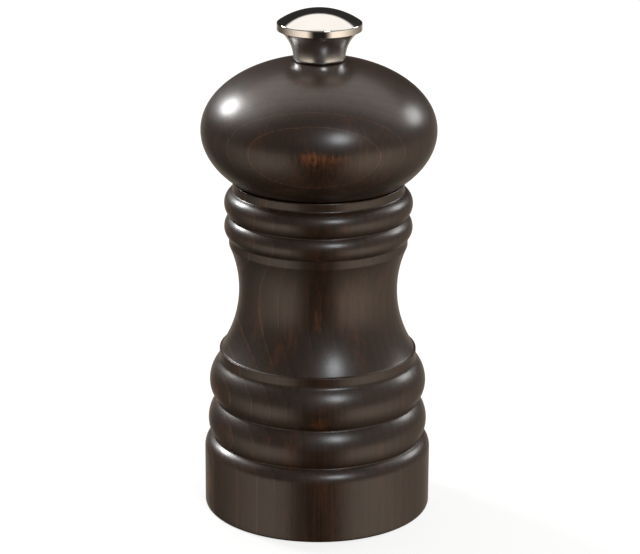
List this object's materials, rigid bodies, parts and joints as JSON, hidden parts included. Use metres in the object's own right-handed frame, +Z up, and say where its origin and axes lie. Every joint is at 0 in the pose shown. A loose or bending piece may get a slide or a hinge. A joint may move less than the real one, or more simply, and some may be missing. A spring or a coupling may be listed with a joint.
{
  "type": "pepper mill",
  "caption": "Turned wooden pepper mill with a rounded head that twists, a beaded waisted body, a steel burr grinder in the foot and a plated knob that sets the grind.",
  "frame": {"origin": "centre of the flat underside of the foot", "axes": "+Z up along the axis that the mill turns about; +X and +Y level"},
  "size_m": [0.055, 0.055, 0.121],
  "materials": {
    "stained_beech": "satin lacquer over dark stain",
    "nickel_plate": "polished nickel plate",
    "hardened_steel": "machined and hardened, lightly oiled",
    "sheet_steel": "zinc-plated sheet",
    "shaft_steel": "drawn bright bar",
    "spring_steel": "bright wire",
    "screw_steel": "zinc-plated",
    "turned_brass": "turned",
    "nylon": "moulded, matt"
  },
  "bodies": {
    "base": {"mill_body": "stained_beech", "neck_bush": "nylon", "grinder_housing": "sheet_steel", "ring_burr": "hardened_steel", "upper_bridge": "sheet_steel", "bottom_bridge": "sheet_steel", "bottom_bush": "turned_brass", "bridge_screws": "screw_steel", "housing_screws": "screw_steel"},
    "guide": {"guide_bush": "turned_brass", "burr_spring": "spring_steel"},
    "shaft": {"drive_shaft": "shaft_steel", "cone_burr": "hardened_steel", "spring_seat": "sheet_steel", "cone_washer": "sheet_steel", "cone_nut": "screw_steel"},
    "head": {"mill_head": "stained_beech", "drive_plate": "sheet_steel", "plate_screws": "screw_steel"},
    "knob_seat": {"knob_washer": "sheet_steel"},
    "knob": {"knob": "nickel_plate"}
  },
  "joints": [
    {"name": "head_turn", "type": "hinge", "parent": "base", "child": "guide", "pos_m": [0, 0, 0.0293], "axis": [0, 0, 1], "continuous": true},
    {"name": "head_lift", "type": "slide", "parent": "guide", "child": "head", "axis": [0, 0, 1], "range_m": [0, 0.055]},
    {"name": "knob_lift", "type": "slide", "parent": "head", "child": "knob_seat", "axis": [0, 0, 1], "range_m": [0, 0.015]},
    {"name": "knob_turn", "type": "hinge", "parent": "knob_seat", "child": "knob", "pos_m": [0, 0, 0.113], "axis": [0, 0, 1], "range_deg": [-360, 540]},
    {"name": "grind_adjust", "type": "slide", "parent": "guide", "child": "shaft", "axis": [0, 0, 1], "range_m": [-0.0012, 0.0008], "deforming": ["burr_spring"]}
  ],
  "couplings": [
    {"joint": "knob_turn", "follows": "grind_adjust", "rad_per_m": -7854}
  ]
}
